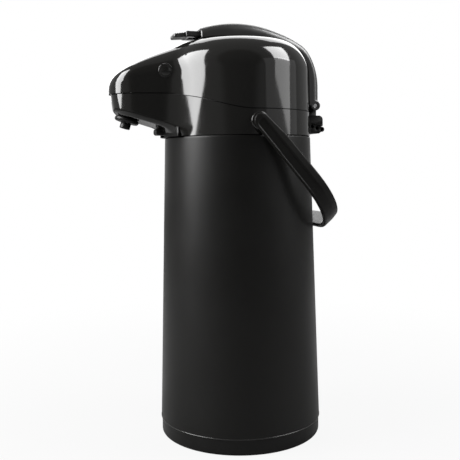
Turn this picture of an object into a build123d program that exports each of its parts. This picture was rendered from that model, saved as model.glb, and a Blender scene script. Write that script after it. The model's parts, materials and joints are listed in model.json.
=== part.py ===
from build123d import *
from math import atan2, cos, radians, sin, sqrt, tan
import os

os.makedirs("parts", exist_ok=True)

# Lever airpot: an insulated jug with a bellows pump in its hinged lid, in millimetres.
# The origin is the centre of the foot's underside, +Z is up and the spout points along -X.

# Gaps that pieces share
seat_gap = 0.1
slide_gap = 0.3
pin_gap = 0.05

# Foot
foot_step = 0.7
foot_height = 14.0
foot_wall = 3.0
foot_tread = 12.0
foot_web = 4.0
foot_round = 2.5
spigot_height = 12.0
base_plate_thickness = 2.5
base_screw_inset = 29.3
base_screw_count = 3

# Outer shell
shell_height = 262.0
shell_bottom_radius = 75.0
shell_taper = 6.9
shell_wall = 1.0
shell_flange = 6.0
shell_edge_round = 2.0

# Vacuum liner
liner_clearance = 6.1
liner_wall = 5.0
liner_skin = 0.8
liner_floor_z = 26.0
liner_heel_round = 18.0
liner_shoulder_round = 25.0
neck_base_round = 10.0
liner_shoulder_z = 232.0
neck_radius = 32.0
neck_base_z = 256.0
liner_rim_drop = 1.0
cup_height = 14.0
cup_wall = 4.0

# Drum of the head
drum_step = 0.1
drum_taper = 1.9
crown_height = 92.0
crown_radius = 210.0
shoulder_round = 20.0
head_wall = 2.6

# Beak of the head
beak_length = 51.8
beak_tip_half = 20.5
beak_taper = 8.0
beak_corner = 13.0
beak_brow_round = 8.0
beak_top_radius = 268.0
beak_top_slope = 31.5
beak_brow_height = 56.4
beak_edge_round = 9.0
beak_root_round = 24.0
beak_blend_lead = 20.4
beak_blend_run = 40.0
flare_length = 1.6
flare_radius = 16.0
flare_depth = 12.6
beak_root_depth = 33.6
jaw_root_depth = 24.6
jaw_setback = 1.2
jaw_chin_depth = 5.0
jaw_chin_height = 17.0
jaw_floor = 5.0
jaw_slope = 16.5
jaw_slope_depth = 7.0
jaw_edge_round = 4.0

# Seam between the collar and the lid
seam_height = 22.0
seam_rise = 15.5
seam_fall_depth = 3.6
seam_fall_run = 52.0
seam_round = 60.0
seam_gap = 0.5

# Deck and mouth inside the collar
deck_thickness = 5.0
mouth_radius = 28.0
mouth_wall = 3.0
mouth_height = 15.0
neck_seal_height = 3.5
neck_seal_skirt = 7.0

# Lid pieces
plate_lift = 2.5
plate_thickness = 3.0
plate_inset = 3.8
lid_boss_inset = 7.0
lid_boss_radius = 4.2
lid_boss_height = 12.0
gasket_width = 4.5
valve_radius = 9.0
vent_hole_radius = 1.5
vent_hole_circle = 6.0
bellows_radius = 38.0
bellows_depth = 8.0
bellows_wall = 2.0
bellows_folds = 3
bellows_height = 22.0
spring_radius = 20.0
spring_wire = 1.8
spring_turns = 4
plunger_plate_radius = 30.0
plunger_plate_thickness = 3.0
stem_radius = 8.0
stem_top_round = 3.0
guide_wall = 2.7
guide_depth = 8.0
guide_flange = 3.0
guide_flange_thickness = 1.5
plug_radius = 6.2
plug_shank_radius = 4.5
plug_lead = 3.5
plug_rise = 19.9
plug_proud = 0.9

# Hinge at the back
hinge_offset = 4.2
hinge_rise = 7.3
hinge_pin_radius = 2.0
knuckle_half = 4.7
lug_thickness = 4.0
lug_radius = 4.1
ear_radius = 4.8
bracket_half = 14.0
bracket_reach = 13.0
bracket_top_drop = 2.0
bracket_slope = 14.5
bracket_depth = 7.5
bracket_corner = 4.0
bracket_foot_z = 3.0
tab_length = 11.4
tab_half = 13.0
tab_rib_radius = 2.4
tab_rib_bore = 1.7
tab_rib_depth = 5.0
tab_rib_pitch = 5.1
tab_rib_count = 3

# Lever
lever_half = 18.0
lever_wall = 2.6
lever_crest = 12.8
lever_arc_radius = 111.0
lever_arc_centre_x = -1.8
lever_back_offset = 4.0
lever_back_round = 17.0
lever_edge_round = 6.5
lever_nose_x = -38.0
lever_to_dome = 0.45
presser_radius = 7.0
presser_rise = 4.0

# Lever lock
lock_half = 11.5
lock_front_x = -50.5
lock_back_x = -29.0
lock_height = 5.2
thumb_reach = 11.0
thumb_half = 9.0
thumb_thickness = 4.0
lock_travel = 4.0
catch_half = 3.5
catch_post = 3.0
catch_head = 4.8

# Front latch
guard_thickness = 4.4
guard_half_angle = 28.0
guard_drop = 0.2
guard_height = 8.0
guard_slot_half = 9.0
button_half = 7.6
button_reach = 10.6
button_height = 6.8
button_groove_count = 3
shank_half = 13.0
shank_length = 16.5
shank_thickness = 3.0
latch_travel = 4.0
prong_near = 8.0
prong_far = 12.0
prong_inset = 12.5
prong_thickness = 3.0

# Siphon tube, stop valve, spout pipe and nozzle
tube_x = -18.0
tube_radius = 4.0
tube_bore = 3.0
tube_clearance = 3.0
stop_valve_radius = 7.5
stop_valve_end_radius = 6.0
stop_valve_base_z = 240.0
stop_valve_height = 34.0
stop_valve_chamber = 5.4
ball_radius = 4.6
ball_seat_radius = 3.2
elbow_radius = 4.8
pipe_radius = 3.8
pipe_bore = 2.8
pipe_drop = 7.0
nozzle_setback = 16.3
nozzle_flange_radius = 11.0
nozzle_flange_thickness = 4.2
nozzle_neck_radius = 7.8
nozzle_tip_radius = 4.7
nozzle_tip_length = 5.5

# Bail handle
pivot_height = 11.5
bail_angle = 49.3
bail_side_gap = 2.8
bail_thickness = 4.5
bail_rest_drop = 94.5
bail_rest_gap = 0.75
bail_corner = 56.0
bail_eye_radius = 6.5
bail_upper = 9.2
bail_lower = 7.8
bail_upper_start = 24.0
bail_lower_start = 100.0
trunnion_radius = 3.5
trunnion_length = 8.0
hub_radius = 6.0
hub_side_gap = 0.5

# Radii and reaches that follow from the sizes above
foot_radius = shell_bottom_radius - foot_step
base_screw_circle = foot_radius - base_screw_inset
shell_top_radius = shell_bottom_radius - shell_taper
liner_radius = shell_top_radius - liner_clearance
drum_foot_radius = shell_top_radius - drum_step
drum_shoulder_radius = drum_foot_radius - drum_taper
beak_reach = drum_foot_radius + beak_length
flare_start = drum_foot_radius + flare_length
beak_root = flare_start - beak_root_depth
jaw_root = flare_start - jaw_root_depth
jaw_slope_start = flare_start - jaw_slope_depth
seam_fall_start = flare_start - seam_fall_depth
seam_fall_end = seam_fall_start - seam_fall_run
nozzle_x = beak_reach - nozzle_setback
plug_x = flare_start + plug_lead
plate_radius = drum_foot_radius - plate_inset
lid_boss_circle = drum_foot_radius - lid_boss_inset
prong_x = prong_inset - drum_foot_radius
hinge_x = drum_foot_radius + hinge_offset
lever_back_x = hinge_x + lever_back_offset
bail_inner_half = drum_foot_radius + bail_side_gap

# Heights and places that follow from the sizes above
head_base_z = foot_height + shell_height
crown_z = head_base_z + crown_height
seam_z = head_base_z + seam_height
seam_beak_z = seam_z + seam_rise
deck_z = head_base_z + deck_thickness
mouth_rim_z = deck_z + mouth_height
plate_z = seam_z + plate_lift
plate_top_z = plate_z + plate_thickness
hinge_z = seam_z + hinge_rise
pivot_z = head_base_z + pivot_height
jaw_z = head_base_z + jaw_floor
shoulder_corner_z = crown_z - crown_radius + sqrt(crown_radius**2 - drum_shoulder_radius**2)
drum_draft = (drum_foot_radius - drum_shoulder_radius) / (shoulder_corner_z - head_base_z)
drum_seam_radius = drum_foot_radius - drum_draft * seam_height
liner_floor_top_z = liner_floor_z + liner_wall
liner_rim_z = head_base_z - liner_rim_drop
base_plate_top_z = foot_web + base_plate_thickness
beak_brow_x = -(beak_reach - 6.7)
beak_top_centre_x = beak_brow_x + beak_top_radius * sin(radians(beak_top_slope))
beak_top_centre_z = head_base_z + beak_brow_height - beak_top_radius * cos(radians(beak_top_slope))
pipe_z = mouth_rim_z - pipe_drop
plunger_z = plate_top_z + bellows_height


# Shape of the head
def corner_drop(depth, radius):
    """How far a rounded corner falls back at a depth behind its face."""
    if depth >= radius:
        return 0.0
    return radius - sqrt(radius**2 - (radius - depth) ** 2)


def beak_half_width(x):
    """Half the beak's width: straight sides, a rounded front and a flare into the drum."""
    depth = beak_reach + x
    width = beak_tip_half + depth * tan(radians(beak_taper)) - corner_drop(depth, beak_corner)
    flare = min(x + flare_start, flare_depth)
    if flare > 0:
        width += flare_radius - sqrt(flare_radius**2 - flare**2)
    return width


def beak_top(x):
    """Height of the beak's top, which curves down from the crown to the front."""
    arc = beak_top_centre_z + sqrt(beak_top_radius**2 - (x - beak_top_centre_x) ** 2)
    sink = 0.3 * max(0.0, x + flare_start - flare_depth - 5.0)
    return arc - corner_drop(beak_reach + x, beak_brow_round) - sink


def jaw_bottom(x):
    """Height of the beak's underside, which slopes down from the chin to the drum."""
    slope = jaw_z + max(0.0, -x - jaw_slope_start) * tan(radians(jaw_slope))
    chin = corner_drop(beak_reach - jaw_setback + x, jaw_chin_depth) / jaw_chin_depth
    return slope + chin * jaw_chin_height


def drum(inset):
    """The round part of the head, with every face moved inwards by inset."""
    wall_top = (drum_shoulder_radius - inset, shoulder_corner_z - inset)
    with BuildPart() as form:
        with BuildSketch(Plane.XZ) as half:
            with BuildLine():
                base = Line((0, head_base_z), (drum_foot_radius - inset, head_base_z))
                wall = Line(base @ 1, wall_top)
                crown = RadiusArc(wall @ 1, (0, crown_z - inset), inset - crown_radius)
                Line(crown @ 1, base @ 0)
            make_face()
            fillet(half.vertices().sort_by_distance(wall_top)[0], shoulder_round - inset)
        revolve(axis=Axis.Z)
    return form


def beak_stations(front, root):
    """Where the beak's cross-sections lie, closer together round its front and its flare."""
    nose = [front + step for step in (0.0, 1.2, 3.5, 7.5, beak_corner + 1.0)]
    sides = [-(flare_start + 20.0), -flare_start, -flare_start + 4.6, -flare_start + 8.6]
    inside = [flare_depth - flare_start, flare_depth - flare_start + 7.0, -root]
    return nose + sides + inside


def upper_beak(inset):
    """The beak above the seam, with every face moved inwards by inset."""
    floor_z = seam_z - 8.0
    with BuildPart() as form:
        for x in beak_stations(-beak_reach, beak_root):
            shift = inset if x < -flare_start else 0.0
            width = beak_half_width(x) - inset
            top = beak_top(x) - inset
            blend = min(1.0, max(0.0, (x + flare_start + beak_blend_lead) / beak_blend_run))
            edge = beak_edge_round + blend * (beak_root_round - beak_edge_round)
            edge = min(edge, 0.85 * width, 0.8 * (top - floor_z))
            with BuildSketch(Plane.YZ.offset(x + shift)):
                with BuildLine():
                    FilletPolyline(
                        (-width, floor_z), (width, floor_z), (width, top), (-width, top),
                        radius=[0, 0, edge, edge], close=True,
                    )
                make_face()
        loft()
    return form


def lower_beak(inset):
    """The beak below the seam, with every face moved inwards by inset."""
    roof_z = seam_beak_z + 16.0
    with BuildPart() as form:
        for x in beak_stations(jaw_setback - beak_reach, jaw_root):
            shift = inset if x < -flare_start else 0.0
            width = beak_half_width(max(x - jaw_setback, -beak_reach)) - inset
            bottom = jaw_bottom(x) + inset
            edge = min(jaw_edge_round, 0.5 * width)
            with BuildSketch(Plane.YZ.offset(x + shift)):
                with BuildLine():
                    FilletPolyline(
                        (width, roof_z), (-width, roof_z), (-width, bottom), (width, bottom),
                        radius=[0, 0, edge, edge], close=True,
                    )
                make_face()
        loft()
    return form


def under_seam(lift):
    """Everything below the seam, which rises towards the beak, raised by lift."""
    reach = beak_reach + 20.0
    low = head_base_z - 10.0
    beak_z = seam_beak_z + lift
    back_z = seam_z + lift
    with BuildPart() as form:
        with BuildSketch(Plane.XZ):
            with BuildLine():
                FilletPolyline(
                    (-reach, low), (-reach, beak_z), (-seam_fall_start, beak_z),
                    (-seam_fall_end, back_z), (reach, back_z), (reach, low),
                    radius=[0, 0, seam_round, seam_round, 0, 0], close=True,
                )
            make_face()
        extrude(amount=reach, both=True)
    return form


def collar_form(inset, lift):
    """The head below the seam, as one solid."""
    body = drum(inset)
    jaw = lower_beak(inset)
    cut = under_seam(lift)
    with BuildPart() as form:
        add(body.part)
        add(jaw.part)
        add(cut.part, mode=Mode.INTERSECT)
    return form


def lid_form(inset):
    """The head with its upper beak, as one solid down to the collar's base."""
    body = drum(inset)
    beak = upper_beak(inset)
    with BuildPart() as form:
        add(body.part)
        add(beak.part)
    return form


def screws(places, head_radius, head_height, shank_radius, shank_length):
    """Screws with domed heads, each pointing along its place's Z."""
    with BuildPart() as group:
        for place in places:
            with BuildSketch(place):
                Circle(head_radius)
            extrude(amount=-head_height)
            with BuildSketch(place):
                Circle(shank_radius)
            extrude(amount=shank_length)
    return group


# Foot ring, which the jug stands on
spigot_radius = shell_bottom_radius - shell_wall - seat_gap
shell_draft = (shell_bottom_radius - shell_top_radius) / shell_height
with BuildPart() as foot_ring:
    with BuildSketch(Plane.XZ):
        with BuildLine():
            FilletPolyline(
                (foot_radius - foot_tread, 0),
                (foot_radius, 0),
                (foot_radius, foot_height),
                (spigot_radius, foot_height),
                (spigot_radius - shell_draft * spigot_height, foot_height + spigot_height),
                (foot_radius - foot_wall, foot_height + spigot_height),
                (foot_radius - foot_wall, foot_web),
                (foot_radius - foot_tread, foot_web),
                radius=[0.8, foot_round, 0, 0, 0.5, 0.5, 0, 0], close=True,
            )
        make_face()
    revolve(axis=Axis.Z)

# Base plate, which closes the foot and carries the liner's cup
screw_shank = 1.8
with BuildPart() as base_plate:
    with BuildSketch(Plane.XY.offset(foot_web)):
        Circle(foot_radius - foot_wall - seat_gap)
    extrude(amount=base_plate_thickness)
    with BuildSketch(Plane.XY.offset(foot_web)):
        Circle(base_screw_circle - 12.0)
    extrude(amount=1.2, mode=Mode.SUBTRACT)
    with BuildSketch(Plane.XY.offset(foot_web)):
        with PolarLocations(base_screw_circle, base_screw_count):
            Circle(screw_shank + pin_gap)
    extrude(amount=base_plate_thickness, mode=Mode.SUBTRACT)

base_screws = screws(
    [
        Plane.XY.offset(foot_web) * Location(place.position)
        for place in PolarLocations(base_screw_circle, base_screw_count).local_locations
    ],
    3.8, 2.0, screw_shank, 9.0,
)

# Rubber cup that cushions the liner's floor
cup_radius = liner_radius + cup_wall
cup_top_z = liner_floor_z + cup_height
with BuildPart() as liner_cup:
    with BuildSketch(Plane.XZ):
        with BuildLine():
            FilletPolyline(
                (base_screw_circle - 15.0, base_plate_top_z),
                (cup_radius, base_plate_top_z),
                (cup_radius, cup_top_z),
                (liner_radius + seat_gap, cup_top_z),
                (liner_radius + seat_gap, liner_floor_z - seat_gap),
                (base_screw_circle - 15.0, liner_floor_z - seat_gap),
                radius=[1.0, 3.0, 1.5, 0, liner_heel_round - 6.0, 0], close=True,
            )
        make_face()
    revolve(axis=Axis.Z)
    with BuildSketch(Plane.XY.offset(base_plate_top_z)):
        with PolarLocations(base_screw_circle, base_screw_count):
            Circle(screw_shank + pin_gap)
    extrude(amount=7.0, mode=Mode.SUBTRACT)

# Outer shell, tapered, with its top edge rolled inwards
with BuildPart() as outer_shell:
    with BuildSketch(Plane.XZ):
        with BuildLine():
            FilletPolyline(
                (shell_bottom_radius - shell_wall, foot_height),
                (shell_bottom_radius, foot_height),
                (shell_top_radius, head_base_z),
                (shell_top_radius - shell_flange, head_base_z),
                (shell_top_radius - shell_flange, head_base_z - shell_wall),
                (shell_top_radius - shell_wall, head_base_z - shell_wall),
                radius=[0, 0, shell_edge_round, 0, 0, shell_edge_round - shell_wall], close=True,
            )
        make_face()
    revolve(axis=Axis.Z)

# Vacuum liner: an inner and an outer steel bottle, joined at the rim of their narrow neck
shoulder_slope = atan2(neck_base_z - liner_shoulder_z, liner_radius - neck_radius)


def bottle_line(inset, neck_top_z):
    """Half section of the liner's outer face, moved inwards by inset, from its floor to its neck."""
    drop = inset * (1.0 - sin(shoulder_slope)) / cos(shoulder_slope)
    return [
        (0, liner_floor_z + inset),
        (liner_radius - inset, liner_floor_z + inset),
        (liner_radius - inset, liner_shoulder_z - drop),
        (neck_radius - inset, neck_base_z - drop),
        (neck_radius - inset, neck_top_z),
    ]


def bottle_rounds(inset):
    """Corner radii that go with bottle_line, with sharp ends."""
    return [0, liner_heel_round - inset, liner_shoulder_round - inset, neck_base_round + inset, 0]


outer_neck_top_z = liner_rim_z - liner_skin - seat_gap
with BuildPart() as liner_outer:
    with BuildSketch(Plane.XZ):
        with BuildLine():
            FilletPolyline(
                *bottle_line(0, outer_neck_top_z),
                *reversed(bottle_line(liner_skin, outer_neck_top_z)),
                radius=bottle_rounds(0) + bottle_rounds(liner_skin)[::-1], close=True,
            )
        make_face()
    revolve(axis=Axis.Z)

inner_skin_face = liner_wall - liner_skin
with BuildPart() as liner_inner:
    with BuildSketch(Plane.XZ):
        with BuildLine():
            FilletPolyline(
                *bottle_line(inner_skin_face, liner_rim_z - liner_skin),
                (neck_radius, liner_rim_z - liner_skin),
                (neck_radius, liner_rim_z),
                *reversed(bottle_line(liner_wall, liner_rim_z)),
                radius=bottle_rounds(inner_skin_face) + [0.2, 0.2] + bottle_rounds(liner_wall)[::-1],
                close=True,
            )
        make_face()
    revolve(axis=Axis.Z)

# Rubber seal between the liner's rim and the collar's deck
neck_seal_radius = neck_radius + 2.8
neck_seal_top_z = liner_rim_z + seat_gap + neck_seal_height - 0.2
with BuildPart() as neck_seal:
    with BuildSketch(Plane.XZ):
        with BuildLine():
            FilletPolyline(
                (neck_radius - liner_wall + 0.4, liner_rim_z + seat_gap),
                (neck_radius + seat_gap, liner_rim_z + seat_gap),
                (neck_radius + seat_gap, liner_rim_z - neck_seal_skirt),
                (neck_seal_radius, liner_rim_z - neck_seal_skirt),
                (neck_seal_radius, neck_seal_top_z),
                (neck_radius - liner_wall + 0.4, neck_seal_top_z),
                radius=[0.4, 0, 0.6, 0.6, 0.6, 0.4], close=True,
            )
        make_face()
    revolve(axis=Axis.Z)

# Collar: drum wall, deck, mouth and lower beak in one moulding
jaw_tilt = radians(jaw_slope)
nozzle_face_z = jaw_bottom(-nozzle_x)
nozzle_plane = Plane(
    (-nozzle_x, 0, nozzle_face_z),
    x_dir=(-cos(jaw_tilt), 0, sin(jaw_tilt)),
    z_dir=(-sin(jaw_tilt), 0, -cos(jaw_tilt)),
)
elbow_plane = Plane((0, 0, pipe_z), x_dir=(0, 1, 0), z_dir=(-1, 0, 0))
seal_radius = 6.0
pocket_floor_z = deck_z - deck_thickness + 1.3
shank_front_x = -(drum_foot_radius - 1.5)
shank_back_x = shank_front_x + shank_length
pocket_front_x = -(drum_foot_radius + 2.5)
pocket_back_x = shank_back_x + latch_travel + 0.5
bracket_screw_y = 10.0
bracket_screw_z = hinge_z - 15.0
bracket_screw_places = [
    Plane((drum_foot_radius - head_wall - 1.8, side * bracket_screw_y, bracket_screw_z), z_dir=(1, 0, 0))
    for side in (-1, 1)
]
bracket_screw_radius = 1.5
hub_face = bail_inner_half - hub_side_gap
collar_skin = collar_form(0, 0)
collar_core = collar_form(head_wall, 20.0)
with BuildPart() as collar:
    add(collar_skin.part)
    with BuildSketch(Plane.XZ.offset(-hub_face)):
        with Locations((0, pivot_z)):
            Circle(hub_radius)
    extrude(amount=2 * hub_face)
    with BuildPart(mode=Mode.PRIVATE) as hollow:
        add(collar_core.part)
        split(bisect_by=Plane.XY.offset(deck_z), keep=Keep.TOP)
    add(hollow.part, mode=Mode.SUBTRACT)
    with BuildSketch(Plane.XY.offset(deck_z)):
        Circle(mouth_radius + mouth_wall)
    extrude(amount=mouth_height)
    with BuildSketch(Plane.XY.offset(head_base_z)):
        Circle(mouth_radius)
    extrude(amount=mouth_rim_z - head_base_z, mode=Mode.SUBTRACT)
    with BuildSketch(Plane.XY.offset(head_base_z)):
        Circle(neck_seal_radius + seat_gap)
    extrude(amount=neck_seal_top_z + seat_gap - head_base_z, mode=Mode.SUBTRACT)
    with BuildSketch(elbow_plane.offset(mouth_radius - 4.0)):
        Circle(seal_radius)
    extrude(amount=mouth_wall + 8.0, mode=Mode.SUBTRACT)
    with BuildSketch(nozzle_plane.offset(-8.0)):
        Circle(nozzle_neck_radius + seat_gap)
    extrude(amount=12.0, mode=Mode.SUBTRACT)
    with BuildSketch(Plane.XY.offset(pocket_floor_z)):
        with Locations(((pocket_front_x + pocket_back_x) / 2, 0)):
            Rectangle(pocket_back_x - pocket_front_x, 2 * (shank_half + slide_gap))
    extrude(amount=deck_thickness + 1.5, mode=Mode.SUBTRACT)
    with BuildSketch(Plane.XZ.offset(-hub_face)):
        with Locations((0, pivot_z)):
            Circle(trunnion_radius + pin_gap)
    extrude(amount=trunnion_length, mode=Mode.SUBTRACT)
    with BuildSketch(Plane.XZ.offset(hub_face)):
        with Locations((0, pivot_z)):
            Circle(trunnion_radius + pin_gap)
    extrude(amount=-trunnion_length, mode=Mode.SUBTRACT)
    for place in bracket_screw_places:
        with BuildSketch(place):
            Circle(bracket_screw_radius + seat_gap)
        extrude(amount=8.0, mode=Mode.SUBTRACT)

# Siphon tube down the liner, with a stop valve and its loose ball near the top
tube_axis = Plane((tube_x, 0, 0))
with BuildPart() as siphon_tube:
    with BuildSketch(tube_axis.offset(liner_floor_top_z + tube_clearance)):
        Circle(tube_radius)
        Circle(tube_bore, mode=Mode.SUBTRACT)
    extrude(amount=stop_valve_base_z + 7.0 - liner_floor_top_z - tube_clearance)

chamber_z = stop_valve_base_z + 11.0
chamber_top_z = stop_valve_base_z + 26.0
ball_z = chamber_z + sqrt(ball_radius**2 - ball_seat_radius**2) + pin_gap
valve_top_z = stop_valve_base_z + stop_valve_height
with BuildPart() as stop_valve:
    with BuildSketch(tube_axis.offset(stop_valve_base_z)):
        Circle(stop_valve_end_radius)
    extrude(amount=stop_valve_height)
    with BuildSketch(tube_axis.offset(stop_valve_base_z + 5.0)):
        Circle(stop_valve_radius)
    extrude(amount=stop_valve_height - 10.0)
    chamfer(stop_valve.edges().filter_by(GeomType.CIRCLE).group_by(SortBy.RADIUS)[-1], 1.0)
    with BuildSketch(tube_axis.offset(stop_valve_base_z)):
        Circle(tube_radius + seat_gap / 2)
    extrude(amount=7.0 + seat_gap, mode=Mode.SUBTRACT)
    with BuildSketch(tube_axis.offset(stop_valve_base_z)):
        Circle(ball_seat_radius)
    extrude(amount=stop_valve_height, mode=Mode.SUBTRACT)
    with BuildSketch(tube_axis.offset(chamber_z)):
        Circle(stop_valve_chamber)
    extrude(amount=chamber_top_z - chamber_z, mode=Mode.SUBTRACT)
    with BuildSketch(tube_axis.offset(valve_top_z - 6.0)):
        Circle(elbow_radius + seat_gap / 2)
    extrude(amount=6.0, mode=Mode.SUBTRACT)

with BuildPart() as stop_ball:
    with Locations((tube_x, 0, ball_z)):
        Sphere(ball_radius)

# Elbow that carries the tube in the mouth's wall, and its grommet
with BuildPart() as tube_elbow:
    with BuildLine(Plane.XZ) as elbow_line:
        FilletPolyline(
            (tube_x, valve_top_z - 6.0 + seat_gap),
            (tube_x, pipe_z),
            (-mouth_radius - mouth_wall - 3.0, pipe_z),
            radius=[8.0],
        )
    with BuildSketch(Plane(elbow_line.line @ 0, z_dir=elbow_line.line % 0)):
        Circle(elbow_radius)
        Circle(pipe_radius + pin_gap, mode=Mode.SUBTRACT)
    sweep()

with BuildPart() as elbow_grommet:
    with BuildSketch(elbow_plane.offset(mouth_radius - 1.0)):
        Circle(seal_radius - pin_gap)
        Circle(elbow_radius + pin_gap, mode=Mode.SUBTRACT)
    extrude(amount=mouth_wall + 1.5)

# Spout pipe through the beak, its nozzle and the outlet
pipe_bend_x = 8.0 - drum_foot_radius
pipe_turn = nozzle_plane.origin - nozzle_plane.z_dir * 9.0
pipe_end = nozzle_plane.origin + nozzle_plane.z_dir * (nozzle_flange_thickness - 0.5)
with BuildPart() as spout_pipe:
    with BuildLine() as pipe_line:
        FilletPolyline(
            (-mouth_radius - 1.0, 0, pipe_z), (pipe_bend_x, 0, pipe_z), pipe_turn, pipe_end,
            radius=[20.0, 5.0],
        )
    with BuildSketch(Plane(pipe_line.line @ 0, z_dir=pipe_line.line % 0)):
        Circle(pipe_radius)
        Circle(pipe_bore, mode=Mode.SUBTRACT)
    sweep()

with BuildPart() as nozzle_base:
    with BuildSketch(nozzle_plane.offset(-4.0)):
        Circle(nozzle_neck_radius)
    extrude(amount=4.0 + seat_gap)
    with BuildSketch(nozzle_plane.offset(seat_gap)):
        Circle(nozzle_flange_radius)
    extrude(amount=nozzle_flange_thickness)
    chamfer(nozzle_base.faces().sort_by(Axis.Z)[0].edges(), 1.2)
    with BuildSketch(nozzle_plane.offset(-4.0)):
        Circle(pipe_radius + pin_gap)
    extrude(amount=4.0 + nozzle_flange_thickness + seat_gap, mode=Mode.SUBTRACT)

with BuildPart() as nozzle_tip:
    with BuildSketch(nozzle_plane.offset(nozzle_flange_thickness + 2 * seat_gap)):
        Circle(nozzle_tip_radius)
        Circle(pipe_bore, mode=Mode.SUBTRACT)
    extrude(amount=nozzle_tip_length)
    fillet(nozzle_tip.faces().sort_by(Axis.Z)[0].edges(), 0.7)

# Latch guard: a short band round the collar's front, below the beak
collar_fence = collar_form(-seat_gap, 0)
guard_radius = drum_foot_radius + guard_thickness
with BuildPart() as latch_guard:
    with BuildSketch(Plane.XY.offset(head_base_z - guard_drop)):
        Circle(guard_radius)
        Circle(shell_top_radius + slide_gap, mode=Mode.SUBTRACT)
        with BuildLine():
            guard_spread = 2 * drum_foot_radius * tan(radians(guard_half_angle))
            Polyline(
                (0, 0), (-2 * drum_foot_radius, guard_spread), (-2 * drum_foot_radius, -guard_spread),
                close=True,
            )
        make_face(mode=Mode.INTERSECT)
    extrude(amount=guard_drop + guard_height)
    add(collar_fence.part, mode=Mode.SUBTRACT)
    with BuildSketch(Plane.XY.offset(head_base_z - guard_drop)):
        with Locations((-drum_foot_radius, 0)):
            Rectangle(4 * guard_thickness, 2 * guard_slot_half)
    extrude(amount=guard_drop + guard_height, mode=Mode.SUBTRACT)

# Latch button: ribbed tab outside, shank and teeth inside the deck
shank_z = pocket_floor_z + slide_gap
shank_top_z = shank_z + shank_thickness
button_front_x = -(drum_foot_radius + button_reach)
button_top_z = jaw_bottom(button_front_x) - 1.3
tooth_x = prong_x + prong_thickness + 0.4
with BuildPart() as latch_button:
    with BuildSketch(Plane.XZ):
        with BuildLine():
            FilletPolyline(
                (button_front_x, shank_z),
                (shank_front_x - 2.6, shank_z),
                (shank_front_x - 2.6, jaw_bottom(shank_front_x) - 0.5),
                (button_front_x, button_top_z),
                radius=[2.2, 0, 0, 2.2], close=True,
            )
        make_face()
    extrude(amount=button_half, both=True)
    with BuildSketch(Plane.XY.offset(shank_z)):
        with Locations(((shank_front_x + shank_back_x) / 2 - 2.0, 0)):
            Rectangle(shank_length + 4.0, 2 * button_half)
        with Locations(((shank_front_x + 4.0 + shank_back_x) / 2, 0)):
            Rectangle(shank_length - 4.0, 2 * shank_half)
    extrude(amount=shank_thickness)
    with BuildSketch(Plane.XY.offset(shank_z)):
        for side in (-1, 1):
            with Locations((tooth_x + 1.3, side * (prong_near + prong_far) / 2)):
                Rectangle(2.6, prong_far - prong_near)
    extrude(amount=shank_thickness + 4.0)
    with BuildSketch(Plane.XY.offset(shank_z - 1.0)):
        for groove in range(button_groove_count):
            with Locations((button_front_x, (groove - 1) * 4.2)):
                Circle(0.9)
    extrude(amount=button_height + 4.0, mode=Mode.SUBTRACT)

# Hinge bracket on the back of the collar, with its lugs, pin and release tab
bracket_top_z = seam_z - bracket_top_drop
bracket_back_x = drum_foot_radius + bracket_reach
bracket_fall = (bracket_reach - 2.4) * tan(radians(bracket_slope))
bracket_low_z = bracket_top_z - bracket_depth
lug_out = knuckle_half + slide_gap + lug_thickness
with BuildPart() as hinge_bracket:
    with BuildSketch(Plane.XZ):
        with BuildLine():
            FilletPolyline(
                (drum_foot_radius - 6.0, bracket_top_z),
                (bracket_back_x, bracket_top_z),
                (bracket_back_x, bracket_low_z - bracket_fall),
                (drum_foot_radius + 0.9, bracket_low_z + 1.5 * tan(radians(bracket_slope))),
                (drum_foot_radius + 0.9, head_base_z + bracket_foot_z),
                (drum_foot_radius - 6.0, head_base_z + bracket_foot_z),
                radius=[0, bracket_corner, 0.8, 0, 0, 0], close=True,
            )
        make_face()
    extrude(amount=bracket_half, both=True)
    with BuildSketch(Plane.XZ):
        with BuildLine():
            Polyline(
                (hinge_x - lug_radius, bracket_top_z - 2.0), (hinge_x + lug_radius, bracket_top_z - 2.0),
                (hinge_x + lug_radius, hinge_z), (hinge_x - lug_radius, hinge_z), close=True,
            )
        make_face()
        with Locations((hinge_x, hinge_z)):
            Circle(lug_radius)
    extrude(amount=lug_out, both=True)
    with BuildSketch(Plane.XZ):
        with Locations((hinge_x, (bracket_top_z + hinge_z + lug_radius) / 2 + 0.5)):
            Rectangle(3 * lug_radius, hinge_z + lug_radius - bracket_top_z + 1.0)
    extrude(amount=knuckle_half + slide_gap, both=True, mode=Mode.SUBTRACT)
    add(collar_fence.part, mode=Mode.SUBTRACT)
    with BuildSketch(Plane.XZ):
        with Locations((hinge_x, hinge_z)):
            Circle(hinge_pin_radius + pin_gap / 2)
    extrude(amount=2 * lug_out, both=True, mode=Mode.SUBTRACT)
    for place in bracket_screw_places:
        with BuildSketch(place):
            Circle(bracket_screw_radius + seat_gap)
        extrude(amount=11.0, mode=Mode.SUBTRACT)

bracket_screws = screws(bracket_screw_places, 2.8, 1.6, bracket_screw_radius, 10.0)

with BuildPart() as hinge_pin:
    with BuildSketch(Plane.XZ):
        with Locations((hinge_x, hinge_z)):
            Circle(hinge_pin_radius)
    extrude(amount=lever_half - 0.6, both=True)
    chamfer(hinge_pin.edges().filter_by(GeomType.CIRCLE), 0.4)

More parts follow.
